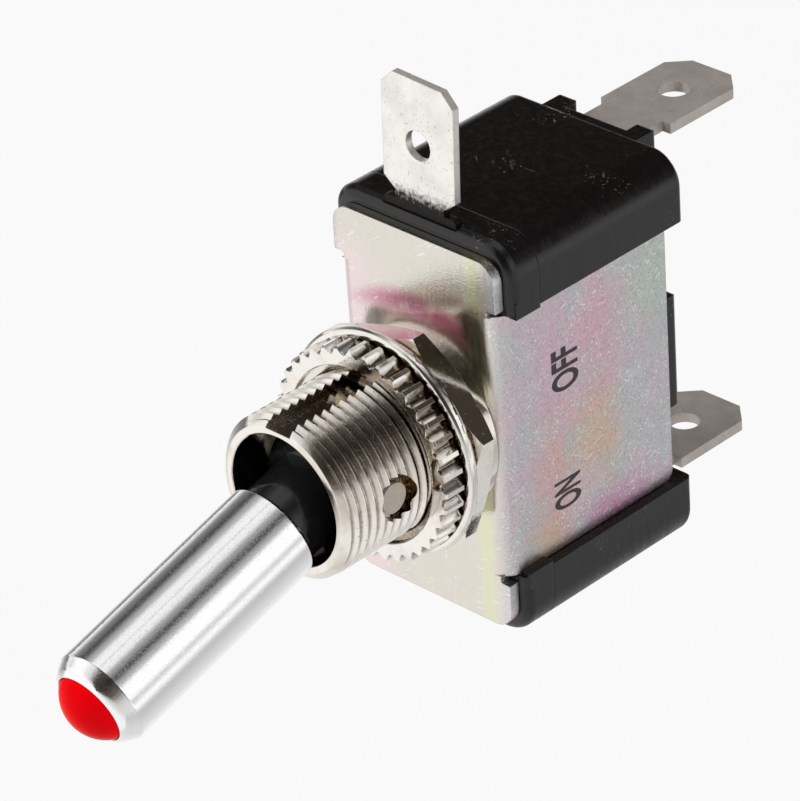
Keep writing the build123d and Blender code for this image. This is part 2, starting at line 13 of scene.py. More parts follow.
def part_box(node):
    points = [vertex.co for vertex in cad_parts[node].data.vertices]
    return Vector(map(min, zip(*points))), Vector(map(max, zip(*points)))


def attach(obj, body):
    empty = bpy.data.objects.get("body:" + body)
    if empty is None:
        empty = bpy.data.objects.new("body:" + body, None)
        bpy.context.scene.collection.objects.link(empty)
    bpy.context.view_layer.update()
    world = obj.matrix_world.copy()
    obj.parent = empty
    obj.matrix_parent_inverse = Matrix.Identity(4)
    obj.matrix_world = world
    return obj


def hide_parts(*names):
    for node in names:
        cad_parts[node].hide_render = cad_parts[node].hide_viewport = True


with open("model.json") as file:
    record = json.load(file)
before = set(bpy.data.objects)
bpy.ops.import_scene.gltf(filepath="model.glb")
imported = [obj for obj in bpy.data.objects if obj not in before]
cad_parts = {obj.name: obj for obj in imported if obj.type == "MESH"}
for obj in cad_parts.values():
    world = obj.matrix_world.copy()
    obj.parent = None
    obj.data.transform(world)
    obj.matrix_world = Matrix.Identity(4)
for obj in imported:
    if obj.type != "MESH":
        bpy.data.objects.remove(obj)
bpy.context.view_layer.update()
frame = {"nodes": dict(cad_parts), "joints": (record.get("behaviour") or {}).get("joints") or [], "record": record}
nodes = frame["nodes"]
joints = {joint["name"]: joint for joint in frame["joints"]}
mounts = {mount["name"]: mount for mount in frame["record"]["mounts"]}
mm = 0.001

# Steps round the axis for turned shapes, and the angle from which an edge stays sharp
neck_steps = 144
tube_steps = 128
small_steps = 96
crease_angle = math.radians(32)

# Bushing
thread_radius = mounts["panel_bushing"]["dims"]["r_mm"] * mm
thread_pitch = 25.4 / 32 * mm
thread_depth = 0.32 * mm
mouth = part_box("bushing")[0].y
stake_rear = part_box("bushing")[1].y
collar_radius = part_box("bushing")[1].x
collar_front = -0.8 * mm
bore_radius = 4.77 * mm
mouth_radius = 5.4 * mm
mouth_chamfer = 0.6 * mm
keyway_width = 2.2 * mm
keyway_floor = 5.15 * mm
keyway_end = -5.0 * mm
pin_depth = -joints["lever_toggle"]["pos_m"][1]
cross_hole_radius = 1.6 * mm
cross_hole_floor = 5.3 * mm
cross_hole_shift = 0.15 * mm
web_thickness = 0.8 * mm

# Lever
pivot = Vector(joints["lever_toggle"]["pos_m"])
lever_way = Vector(joints["plunger_slide"]["axis"])
lever_tilt = math.atan2(-lever_way.z, -lever_way.y)
lever_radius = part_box("lever_tube")[1].x
tube_start = 6.05 * mm
tube_end = 23.95 * mm
tip_length = 1.2 * mm
lamp_radius = 2.58 * mm
lamp_stand_out = 1.4 * mm
lamp_flange_radius = 2.7 * mm

# Nuts
dress_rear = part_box("dress_nut")[1].y
dress_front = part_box("dress_nut")[0].y
dress_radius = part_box("dress_nut")[1].x
flute_count = 38
flute_crest = 7.85 * mm
flute_valley = 7.4 * mm
flute_turn = math.radians(2.0)
rim_thickness = 0.8 * mm
groove_radius = 7.3 * mm
groove_width = 0.22 * mm

# Bracket and housing
flange_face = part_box("bracket")[1].x
block_foot = -11.0 * mm

# Words on the flange: the Y of their foot line, and their ends along Z
letter_height = 2.6 * mm
ink_lift = 0.004 * mm
ink_thickness = 0.02 * mm
words = (("ON", 7.35 * mm, -7.1 * mm, -4.8 * mm), ("OFF", 7.6 * mm, 2.0 * mm, 5.3 * mm))


def tint(red, green, blue):
    """A colour as it is seen, 0 to 255, turned into the renderer's linear values."""
    seen = [value / 255 for value in (red, green, blue)]
    return [v / 12.92 if v <= 0.04045 else ((v + 0.055) / 1.055) ** 2.4 for v in seen] + [1.0]


def add(tree, kind, links=None, **settings):
    """A node with its properties set, and its inputs, by name or place, filled from values or sockets."""
    node = tree.nodes.new(kind)
    for name, value in settings.items():
        setattr(node, name, value)
    for socket, value in (links or {}).items():
        if isinstance(value, bpy.types.NodeSocket):
            tree.links.new(value, node.inputs[socket])
        else:
            node.inputs[socket].default_value = value
    return node


def math_node(tree, operation, first, second=0.0):
    """One arithmetic step, as a socket."""
    return add(tree, "ShaderNodeMath", {0: first, 1: second}, operation=operation).outputs[0]


def times(tree, first, second):
    """The product of two values."""
    return math_node(tree, "MULTIPLY", first, second)


def plus(tree, first, second):
    """The sum of two values."""
    return math_node(tree, "ADD", first, second)


def larger(tree, first, second):
    """The larger of two values."""
    return math_node(tree, "MAXIMUM", first, second)


def span(tree, first, second):
    """The straight distance given by two offsets at right angles."""
    return math_node(tree, "SQRT", plus(tree, times(tree, first, first), times(tree, second, second)))


def split(tree, vector):
    """The three parts of a vector, as sockets."""
    return add(tree, "ShaderNodeSeparateXYZ", {0: vector}).outputs


def rise(tree, value, low, high, bottom=0.0, top=1.0):
    """A smooth step from bottom to top as the value goes from low to high."""
    links = {"Value": value, "From Min": low, "From Max": high, "To Min": bottom, "To Max": top}
    return add(tree, "ShaderNodeMapRange", links, interpolation_type="SMOOTHSTEP").outputs[0]


def mix(tree, share, first, second):
    """Two colours mixed by a share."""
    links = {"Factor": share, 6: first, 7: second}
    return add(tree, "ShaderNodeMix", links, data_type="RGBA").outputs[2]


def shaded(colour, level):
    """A colour with its light scaled by a level."""
    return [value * level for value in colour[:3]] + [1.0]


def noise(tree, vector, scale, detail=2.0, roughness=0.5):
    """A noise value from 0 to 1."""
    links = {"Vector": vector, "Scale": scale, "Detail": detail, "Roughness": roughness}
    return add(tree, "ShaderNodeTexNoise", links).outputs["Fac"]


def mapped(tree, vector, turn=(0, 0, 0), scale=(1, 1, 1), location=(0, 0, 0)):
    """A vector moved, turned and scaled."""
    links = {"Vector": vector, "Location": location, "Rotation": turn, "Scale": scale}
    return add(tree, "ShaderNodeMapping", links).outputs[0]


def effect_group(name, inputs, result):
    """An empty node group with a vector and named values coming in, and one value going out."""
    group = bpy.data.node_groups.new(name, "ShaderNodeTree")
    group.interface.new_socket("Vector", in_out="INPUT", socket_type="NodeSocketVector")
    for label in inputs:
        group.interface.new_socket(label, in_out="INPUT", socket_type="NodeSocketFloat")
    group.interface.new_socket(result, in_out="OUTPUT", socket_type="NodeSocketFloat")
    return group, group.nodes.new("NodeGroupInput"), group.nodes.new("NodeGroupOutput")


def make_scratches():
    """Fine straight scratches in several directions, broken up into short strokes."""
    group, come, go = effect_group("fine_scratches", ["Scale", "Amount"], "Mask")
    total = None
    for turn in ((0.5, 0.3, 0.9), (1.9, 0.8, 2.3), (0.2, 2.2, 1.3), (2.6, 1.4, 0.4)):
        turned = mapped(group, come.outputs["Vector"], turn=turn)
        stretched = mapped(group, turned, scale=(1.0, 1.0, 0.035), location=turn)
        line = noise(group, stretched, come.outputs["Scale"], 1.0)
        line = rise(group, line, 0.66, 0.72)
        broken = rise(group, noise(group, turned, 260.0, 1.0), 0.5, 0.62)
        stroke = times(group, line, broken)
        total = stroke if total is None else larger(group, total, stroke)
    group.links.new(times(group, total, come.outputs["Amount"]), go.inputs["Mask"])
    return group


def make_specks():
    """Small ragged dots of uneven size, as of pits and dust."""
    group, come, go = effect_group("specks", ["Scale", "Level"], "Mask")
    fine = noise(group, come.outputs["Vector"], come.outputs["Scale"], 3.0, 0.55)
    edge = plus(group, come.outputs["Level"], 0.05)
    group.links.new(rise(group, fine, come.outputs["Level"], edge), go.inputs["Mask"])
    return group


def make_patches():
    """A soft patch about one place on a flat side, with a ragged border."""
    group, come, go = effect_group("film_patch", ["Y", "Z", "Wide", "Tall"], "Mask")
    vector = come.outputs["Vector"]
    parts = split(group, vector)
    across = math_node(group, "DIVIDE", math_node(group, "SUBTRACT", parts[1], come.outputs["Y"]),
                       come.outputs["Wide"])
    along = math_node(group, "DIVIDE", math_node(group, "SUBTRACT", parts[2], come.outputs["Z"]),
                      come.outputs["Tall"])
    broad = times(group, noise(group, vector, 350.0, 3.0, 0.6), 1.8)
    ragged = times(group, noise(group, vector, 2600.0, 3.0, 0.7), 0.9)
    far = plus(group, span(group, across, along), plus(group, broad, ragged))
    group.links.new(rise(group, far, 2.5, 1.3), go.inputs["Mask"])
    return group


def make_brushing():
    """Fine parallel lines across the long way of the stock."""
    group, come, go = effect_group("brushing", ["Scale", "Stretch"], "Height")
    parts = split(group, come.outputs["Vector"])
    long_way = times(group, parts[2], come.outputs["Stretch"])
    vector = add(group, "ShaderNodeCombineXYZ", {0: parts[0], 1: parts[1], 2: long_way}).outputs[0]
    group.links.new(noise(group, vector, come.outputs["Scale"], 3.0, 0.6), go.inputs["Height"])
    return group


# Tinted patches of the film, the same on both flanges: colour, then place and size along Y and Z
flange_patches = [
    (tint(238, 196, 214), {"Y": 5.4 * mm, "Z": 4.5 * mm, "Wide": 3.2 * mm, "Tall": 7.0 * mm}),
    (tint(240, 190, 206), {"Y": 9.6 * mm, "Z": 4.0 * mm, "Wide": 3.4 * mm, "Tall": 7.0 * mm}),
    (tint(240, 192, 190), {"Y": 4.8 * mm, "Z": -4.5 * mm, "Wide": 3.2 * mm, "Tall": 6.0 * mm}),
    (tint(238, 204, 168), {"Y": 9.0 * mm, "Z": -3.2 * mm, "Wide": 3.4 * mm, "Tall": 4.4 * mm}),
    (tint(236, 204, 166), {"Y": 4.2 * mm, "Z": -10.2 * mm, "Wide": 3.4 * mm, "Tall": 3.0 * mm}),
    (tint(224, 158, 198), {"Y": 11.0 * mm, "Z": -9.6 * mm, "Wide": 6.0 * mm, "Tall": 2.6 * mm}),
    (tint(206, 220, 208), {"Y": 15.0 * mm, "Z": 7.0 * mm, "Wide": 3.6 * mm, "Tall": 6.0 * mm}),
    (tint(214, 216, 218), {"Y": 13.6 * mm, "Z": -1.0 * mm, "Wide": 3.0 * mm, "Tall": 5.0 * mm}),
]

scratch_group = make_scratches()
speck_group = make_specks()
patch_group = make_patches()
brush_group = make_brushing()


def effect(tree, group, vector, **values):
    """A shared effect placed in a material."""
    node = add(tree, "ShaderNodeGroup", node_tree=group)
    tree.links.new(vector, node.inputs["Vector"])
    for label, value in values.items():
        node.inputs[label].default_value = value
    return node.outputs[0]


def new_material(name, colour, metallic, roughness):
    """A material with its principled shader, and the object's own coordinates."""
    material = bpy.data.materials.new(name)
    material.use_nodes = True
    tree = material.node_tree
    shader = tree.nodes["Principled BSDF"]
    shader.inputs["Base Color"].default_value = colour
    shader.inputs["Metallic"].default_value = metallic
    shader.inputs["Roughness"].default_value = roughness
    place = add(tree, "ShaderNodeTexCoord").outputs["Object"]
    return material, tree, shader, place


def bump(tree, shader, height, distance, radius=0.0):
    """Feeds a height to the shader's normal, over edges rounded in shading by a radius."""
    node = add(tree, "ShaderNodeBump", {"Distance": distance, "Height": height})
    if radius:
        soft = add(tree, "ShaderNodeBevel", {"Radius": radius}, samples=4)
        tree.links.new(soft.outputs[0], node.inputs["Normal"])
    tree.links.new(node.outputs[0], shader.inputs["Normal"])


def finish_nickel(name, colour, roughness, dark, shade_and_grime=None):
    """Bright nickel plate with pits, scratches and stains, and brown painted shade and grime where a mask puts it.
    """
    material, tree, shader, place = new_material(name, colour, 1.0, roughness)
    scratches = effect(tree, scratch_group, place, Scale=9000.0, Amount=0.7)
    pits = effect(tree, speck_group, place, Scale=5200.0, Level=0.69)
    stain = rise(tree, noise(tree, place, 420.0, 4.0, 0.6), 0.44, 0.7)
    base = mix(tree, times(tree, stain, 0.35), colour, dark)
    base = mix(tree, pits, base, tint(70, 58, 50))
    if shade_and_grime:
        # A mottled brown, painted as shade and grime where the mask puts it
        mottle = rise(tree, noise(tree, place, 3200.0, 3.0, 0.6), 0.35, 0.6)
        shade_and_grime_brown = mix(tree, mottle, tint(46, 35, 25), tint(150, 124, 94))
        base = mix(tree, shade_and_grime(tree, place), base, shade_and_grime_brown)
    tree.links.new(base, shader.inputs["Base Color"])
    rough = plus(tree, times(tree, scratches, 0.25), roughness)
    rough = plus(tree, rough, times(tree, stain, 0.06))
    tree.links.new(rough, shader.inputs["Roughness"])
    height = math_node(tree, "SUBTRACT", noise(tree, place, 2600.0, 3.0, 0.6), pits)
    bump(tree, shader, height, 0.007 * mm, radius=0.04 * mm)
    return material


def bushing_shade_and_grime(tree, place):
    """Where brown is painted on the bushing: painted shade in the cross holes round the pin and in the thread's
    roots, and darker brown on the keyway's floor.
    """
    x, y, z = split(tree, place)
    along = plus(tree, y, pin_depth - cross_hole_shift)
    # Painted shade inside the cross holes, stronger towards the rear
    hole = rise(tree, span(tree, along, z), cross_hole_radius + 0.04 * mm, cross_hole_radius)
    hole = times(tree, hole, rise(tree, along, -1.0 * mm, 0.6 * mm, 0.25, 1.0))
    # Darker brown on the keyway's floor
    slot = times(tree, rise(tree, z, keyway_floor + 0.3 * mm, keyway_floor + 0.1 * mm),
                 rise(tree, z, keyway_floor - 0.1 * mm, keyway_floor - 0.02 * mm))
    slot = times(tree, slot, rise(tree, y, mouth + 0.4 * mm, mouth + 4.5 * mm, 0.25, 0.8))
    aside = math_node(tree, "ABSOLUTE", x)
    slot = times(tree, slot, math_node(tree, "LESS_THAN", aside, keyway_width / 2 + 0.05 * mm))
    # Painted shade in the thread's roots
    radius = span(tree, x, z)
    root = thread_radius - thread_depth
    roots = times(tree, rise(tree, radius, root + 0.16 * mm, root + 0.02 * mm, 0.0, 0.6),
                  rise(tree, radius, root - 0.08 * mm, root - 0.03 * mm))
    roots = times(tree, roots, rise(tree, y, mouth + 0.55 * mm, mouth + 0.7 * mm))
    return larger(tree, roots, larger(tree, hole, slot))


def nut_shade_and_grime(tree, place):
    """Where painted shade sits on the dress nut: in the groove behind its flutes, and thinly, with grime, in their
    floors, both stronger towards +X.
    """
    x, y, z = split(tree, place)
    radius = span(tree, x, z)
    # Painted shade in the groove behind the flutes
    groove_front = dress_rear - rim_thickness - groove_width
    groove = times(tree, rise(tree, radius, flute_crest + 0.03 * mm, flute_crest - 0.03 * mm),
                   rise(tree, y, groove_front - 0.04 * mm, groove_front + 0.02 * mm))
    groove = times(tree, groove, rise(tree, x, -3.5 * mm, 1.5 * mm))
    # Painted shade and grime in the flutes' floors
    floor = rise(tree, radius, flute_crest - 0.08 * mm, flute_valley + 0.02 * mm, 0.0, 0.72)
    floor = times(tree, floor, rise(tree, x, -4.0 * mm, 2.0 * mm, 0.15, 1.0))
    floor = times(tree, floor, rise(tree, y, dress_front + 0.02 * mm, dress_front + 0.1 * mm))
    return larger(tree, groove, floor)


def finish_chrome():
    """Polished chrome on the lever, finely mottled and scratched."""
    material, tree, shader, place = new_material("polished_chrome", tint(249, 249, 250), 1.0, 0.07)
    scratches = effect(tree, scratch_group, place, Scale=7000.0, Amount=0.5)
    grain = noise(tree, place, 8000.0, 2.0, 0.6)
    cloudy = rise(tree, grain, 0.45, 0.65, 0.05, 0.26)
    rough = plus(tree, times(tree, scratches, 0.25), cloudy)
    tree.links.new(rough, shader.inputs["Roughness"])
    bump(tree, shader, grain, 0.004 * mm)
    return material


def finish_passivated():
    """Zinc plate under an iridescent film: pale and warm in front, grey and patchy on both flanges."""
    material, tree, shader, place = new_material("passivated_zinc", tint(228, 228, 232), 1.0, 0.3)
    x, _, z = split(tree, place)
    grain = noise(tree, place, 6500.0, 2.0, 0.6)
    drift = noise(tree, place, 500.0, 3.0, 0.6)
    side = larger(tree, rise(tree, x, flange_face - 1.3 * mm, flange_face - 0.1 * mm),
                  rise(tree, x, 0.5 * mm - flange_face, 0.1 * mm - flange_face))
    soft_grain = rise(tree, grain, 0.25, 0.6)
    blush = rise(tree, noise(tree, place, 260.0, 3.0, 0.6), 0.4, 0.62)
    side_base = mix(tree, blush, tint(212, 214, 216), tint(224, 208, 216))
    side_base = mix(tree, soft_grain, mix(tree, 0.35, side_base, tint(130, 128, 126)), side_base)
    for colour, where in flange_patches:
        mask = effect(tree, patch_group, place, **where)
        film = mix(tree, soft_grain, shaded(colour, 0.74), colour)
        side_base = mix(tree, times(tree, mask, 0.75), side_base, film)
    front_base = mix(tree, drift, tint(222, 221, 208), tint(218, 208, 202))
    left = times(tree, rise(tree, x, -2.0 * mm, -7.0 * mm), rise(tree, z, 13.0 * mm, 9.5 * mm))
    front_base = mix(tree, times(tree, left, 0.6), front_base, tint(244, 216, 226))
    # Painted reflection: a magenta sheen in a ring above the nut
    painted_sheen_ring = rise(tree, span(tree, x, z), 10.1 * mm, 8.8 * mm)
    painted_sheen_ring = times(tree, painted_sheen_ring, rise(tree, z, 6.4 * mm, 8.6 * mm))
    painted_sheen_ring = times(tree, painted_sheen_ring, rise(tree, drift, 0.3, 0.5, 0.5, 1.0))
    front_base = mix(tree, times(tree, painted_sheen_ring, 0.75), front_base, tint(190, 96, 140))
    # Painted reflection: a yellow-green band on the web beside the bend to the flange
    painted_bend_reflection = times(tree, rise(tree, x, flange_face - 3.0 * mm, flange_face - 2.2 * mm),
                 rise(tree, x, flange_face - 1.0 * mm, flange_face - 1.7 * mm))
    base = mix(tree, side, front_base, side_base)
    base = mix(tree, times(tree, painted_bend_reflection, 0.6), base, tint(222, 226, 184))
    scratches = effect(tree, scratch_group, place, Scale=5200.0, Amount=0.8)
    specks = effect(tree, speck_group, place, Scale=4200.0, Level=0.67)
    turned = mapped(tree, place, turn=(0.7, 0.2, 1.1))
    finer = times(tree, effect(tree, scratch_group, turned, Scale=8200.0, Amount=1.0), side)
    scratches = larger(tree, scratches, finer)
    strokes = times(tree, scratches, plus(tree, times(tree, side, 0.6), 0.5))
    base = mix(tree, strokes, base, tint(250, 250, 248))
    base = mix(tree, times(tree, specks, 0.2), base, tint(132, 120, 112))
    tree.links.new(base, shader.inputs["Base Color"])
    brushed = effect(tree, brush_group, place, Scale=2600.0, Stretch=0.12)
    rough = rise(tree, brushed, 0.2, 0.8, 0.13, 0.24)
    rough = plus(tree, rough, times(tree, side, 0.16))
    tree.links.new(rough, shader.inputs["Roughness"])
    height = plus(tree, brushed, times(tree, grain, 0.8))
    bump(tree, shader, height, 0.016 * mm, radius=0.1 * mm)
    return material


def painted_foot_shade(tree, place):
    """Where shade is painted on the ground blade: at its foot, and on its cut edges."""
    z = split(tree, place)[2]
    mottle = times(tree, math_node(tree, "SUBTRACT", noise(tree, place, 3400.0, 3.0), 0.5), 1.8 * mm)
    clean_from, dark_below = 16.9 * mm, 15.7 * mm
    # Painted shade at the foot, where the blade goes down into the housing
    foot = rise(tree, plus(tree, z, mottle), clean_from, dark_below)
    facing = split(tree, add(tree, "ShaderNodeTexCoord").outputs["Normal"])[1]
    # Painted shade on the cut edges, the faces that do not face along Y
    edge_shade = rise(tree, math_node(tree, "ABSOLUTE", facing), 0.8, 0.5, 0.0, 0.2)
    return larger(tree, foot, edge_shade)


def finish_terminal(name, colour, metallic, roughness, painted_shade=None):
    """Satin plate on the blades, with a grain along the strip, small specks, and painted shade where a mask is
    given.
    """
    material, tree, shader, place = new_material(name, colour, metallic, roughness)
    grain = noise(tree, place, 4200.0, 3.0, 0.65)
    broad = noise(tree, place, 500.0, 3.0, 0.6)
    specks = effect(tree, speck_group, place, Scale=5200.0, Level=0.64)
    scratches = effect(tree, scratch_group, place, Scale=6200.0, Amount=0.7)
    base = mix(tree, rise(tree, broad, 0.35, 0.7), colour, shaded(colour, 0.86))
    base = mix(tree, times(tree, specks, 0.5), base, tint(96, 86, 80))
    if painted_shade:
        # Painted shade, near black, where the mask puts it
        base = mix(tree, painted_shade(tree, place), base, tint(24, 21, 19))
    tree.links.new(base, shader.inputs["Base Color"])
    rough = rise(tree, grain, 0.2, 0.8, roughness - 0.08, roughness + 0.12)
    tree.links.new(rough, shader.inputs["Roughness"])
    height = plus(tree, grain, times(tree, scratches, 0.8))
    bump(tree, shader, height, 0.014 * mm, radius=0.12 * mm)
    return material


def finish_housing():
    """Semi-gloss black moulding, duller on its +X side and low block, with scratches and dust."""
    black = tint(9, 9, 9)
    material, tree, shader, place = new_material("black_moulding_satin", black, 0.0, 0.34)
    x, _, z = split(tree, place)
    scratches = effect(tree, scratch_group, place, Scale=4200.0, Amount=0.9)
    few = rise(tree, noise(tree, place, 180.0, 2.0), 0.55, 0.7)
    scratches = times(tree, scratches, few)
    specks = effect(tree, speck_group, place, Scale=2600.0, Level=0.74)
    base = mix(tree, times(tree, scratches, 0.35), black, tint(150, 140, 130))
    base = mix(tree, times(tree, specks, 0.5), base, tint(104, 98, 90))
    tree.links.new(base, shader.inputs["Base Color"])
    streaks = effect(tree, brush_group, place, Scale=2400.0, Stretch=0.1)
    side = rise(tree, x, 6.6 * mm, 7.9 * mm)
    foot = rise(tree, z, block_foot, block_foot - 0.3 * mm)
    rough = rise(tree, streaks, 0.25, 0.75, 0.12, 0.26)
    rough = plus(tree, rough, times(tree, side, 0.1))
    rough = plus(tree, rough, times(tree, foot, 0.14))
    tree.links.new(rough, shader.inputs["Roughness"])
    height = plus(tree, streaks, times(tree, scratches, 1.5))
    bump(tree, shader, height, 0.008 * mm, radius=0.12 * mm)
    return material


def finish_black_gloss():
    """Glossy black moulding in the bushing's mouth."""
    material, tree, shader, place = new_material("black_gloss", tint(16, 16, 16), 0.0, 0.14)
    rough = rise(tree, noise(tree, place, 900.0, 3.0), 0.3, 0.7, 0.08, 0.26)
    tree.links.new(rough, shader.inputs["Roughness"])
    bump(tree, shader, noise(tree, place, 1600.0, 2.0), 0.01 * mm)
    return material


def finish_red():
    """Red lamp resin, a little uneven, with a faint inner glow."""
    material, tree, shader, place = new_material("red_resin", tint(176, 0, 4), 0.0, 0.24)
    soft = noise(tree, place, 300.0, 2.0)
    base = mix(tree, rise(tree, soft, 0.3, 0.7), tint(184, 0, 3), tint(160, 0, 8))
    tree.links.new(base, shader.inputs["Base Color"])
    shader.inputs["Specular IOR Level"].default_value = 0.02
    shader.inputs["Emission Color"].default_value = tint(225, 0, 0)
    shader.inputs["Emission Strength"].default_value = 0.14
    return material


def finish_plain(name, colour, metallic, roughness):
    """A simple finish with a fine grain, for the inner pieces."""
    material, tree, shader, place = new_material(name, colour, metallic, roughness)
    grain = noise(tree, place, 1800.0, 3.0)
    tree.links.new(mix(tree, grain, colour, shaded(colour, 0.8)), shader.inputs["Base Color"])
    rough = rise(tree, grain, 0.3, 0.7, roughness * 0.8, roughness * 1.2)
    tree.links.new(rough, shader.inputs["Roughness"])
    bump(tree, shader, grain, 0.01 * mm, radius=0.05 * mm)
    return material


plate, stained = tint(238, 234, 228), tint(200, 184, 168)
nickel = finish_nickel("bright_nickel_plate", plate, 0.08, stained)
fluted_nickel = finish_nickel("fluted_nickel_plate", plate, 0.08, stained, nut_shade_and_grime)
bushing_nickel = finish_nickel("threaded_nickel_plate", tint(238, 233, 226), 0.09, tint(196, 178, 158),
                               bushing_shade_and_grime)
finishes = {
    "passivated_steel": finish_passivated(),
    "bright_nickel": nickel,
    "pin_steel": finish_plain("drawn_steel", tint(196, 186, 172), 0.8, 0.4),
    "lever_chrome": finish_chrome(),
    "black_nylon": finish_black_gloss(),
    "red_lens": finish_red(),
    "tinned_wire": finish_plain("tinned", tint(200, 200, 198), 1.0, 0.3),
    "resistor_body": finish_plain("lacquer", tint(190, 172, 140), 0.0, 0.4),
    "brass": finish_plain("plain_brass", tint(214, 186, 120), 1.0, 0.28),
    "contact_silver": finish_plain("silver_alloy", tint(222, 220, 214), 1.0, 0.24),
    "terminal_plate": finish_terminal("satin_plate", tint(180, 172, 165), 0.66, 0.42),
    "black_moulding": finish_housing(),
}
slot_of = {part["node"]: part["material_slot"] for part in frame["record"]["subparts"]}
for node_name, node in nodes.items():
    for slot in node.material_slots:
        slot.material = finishes[slot_of[node_name]]
ground_plate = finish_terminal("bright_satin_plate", tint(232, 229, 224), 0.75, 0.34, painted_foot_shade)
for slot in nodes["ground_terminal"].material_slots:
    slot.material = ground_plate


def baked(name, bm):
    """A mesh made from a bmesh, which is then freed."""
    mesh = bpy.data.meshes.new(name)
    bm.to_mesh(mesh)
    bm.free()
    return mesh


def placed(name, data):
    """A new object, linked to the scene."""
    thing = bpy.data.objects.new(name, data)
    bpy.context.scene.collection.objects.link(thing)
    return thing


def evaluated_mesh(thing):
    """The mesh of an object with its modifiers or its outline worked out."""
    return bpy.data.meshes.new_from_object(thing.evaluated_get(bpy.context.evaluated_depsgraph_get()))


def piece(name, bm, finish, body, stands_for=()):
    """Turns a bmesh into a shown piece: smooth but for its creases, in a finish, on its body."""
    bmesh.ops.recalc_face_normals(bm, faces=bm.faces)
    for face in bm.faces:
        face.smooth = True
    for edge in bm.edges:
        edge.smooth = len(edge.link_faces) == 2 and edge.calc_face_angle(0.0) < crease_angle
    shown = placed(name, baked(name, bm))
    shown.data.materials.append(finish)
    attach(shown, body)
    if stands_for:
        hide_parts(*stands_for)


def lathe(bm, outline, steps, closed=True):
    """Turns an outline of (radius, y) points about the Y axis."""
    verts = [bm.verts.new((0, y, radius)) for radius, y in outline]
    pairs = list(zip(verts, verts[1:])) + ([(verts[-1], verts[0])] if closed else [])
    edges = [bm.edges.new(pair) for pair in pairs]
    bmesh.ops.spin(bm, geom=verts + edges, cent=(0, 0, 0), axis=(0, 1, 0), angle=math.tau, steps=steps,
                   use_merge=True)
    bmesh.ops.remove_doubles(bm, verts=bm.verts, dist=1e-7)
    bmesh.ops.recalc_face_normals(bm, faces=bm.faces)


def carved(bm, steps):
    """The solid after each (operation, other solid) step, all of them bmeshes."""
    holder = placed("blank", baked("blank", bm))
    others = [placed("cutter", baked("cutter", other)) for _, other in steps]
    for (operation, _), other in zip(steps, others):
        modifier = holder.modifiers.new("carve", "BOOLEAN")
        modifier.operation = operation
        modifier.solver = "EXACT"
        modifier.object = other
    shape = evaluated_mesh(holder)
    result = bmesh.new()
    result.from_mesh(shape)
    for used in [holder] + others:
        bpy.data.objects.remove(used)
    return result


def cube(low, high):
    """A block between two corners, as a bmesh."""
    bm = bmesh.new()
    low, high = Vector(low), Vector(high)
    size = high - low
    bmesh.ops.create_cube(bm, size=1.0)
    bmesh.ops.scale(bm, vec=size, verts=bm.verts)
    bmesh.ops.translate(bm, vec=(low + high) / 2, verts=bm.verts)
    return bm


def rod(radius, low, high):
    """A round rod along X between two places, as a bmesh."""
    bm = bmesh.new()
    bmesh.ops.create_cone(bm, cap_ends=True, segments=64, radius1=radius, radius2=radius,
                          depth=high - low)
    bmesh.ops.rotate(bm, matrix=Matrix.Rotation(math.pi / 2, 3, "Y"), verts=bm.verts)
    bmesh.ops.translate(bm, vec=((low + high) / 2, 0, 0), verts=bm.verts)
    return bm


def threaded_blank():
    """A solid with the thread on its outside, longer at both ends than the bushing's neck."""
    bm = bmesh.new()
    root = thread_radius - thread_depth
    crest, slope = 0.1 * thread_pitch, 0.36 * thread_pitch
    start = mouth - 2 * thread_pitch
    turns = math.ceil((collar_front - start) / thread_pitch) + 1
    outline = []
    for turn in range(turns):
        y = start + turn * thread_pitch
        outline += [(thread_radius, y), (thread_radius, y + crest), (root, y + crest + slope),
                    (root, y + thread_pitch - slope)]
    verts = [bm.verts.new((0, y, radius)) for radius, y in outline]
    edges = [bm.edges.new(pair) for pair in zip(verts, verts[1:])]
    bmesh.ops.spin(bm, geom=verts + edges, cent=(0, 0, 0), axis=(0, 1, 0), angle=math.tau,
                   steps=neck_steps, dvec=(0, thread_pitch / neck_steps, 0))
    bmesh.ops.remove_doubles(bm, verts=bm.verts, dist=1e-6)
    for place, way in ((mouth - 0.2 * mm, -1), (collar_front, 1)):
        everything = bm.verts[:] + bm.edges[:] + bm.faces[:]
        bmesh.ops.bisect_plane(bm, geom=everything, plane_co=(0, place, 0), plane_no=(0, way, 0),
                               clear_outer=True)
        rim = [edge for edge in bm.edges if edge.is_boundary and abs(edge.verts[0].co.y - place) < 1e-6]
        bmesh.ops.contextual_create(bm, geom=rim)
    bmesh.ops.recalc_face_normals(bm, faces=bm.faces)
    return bm


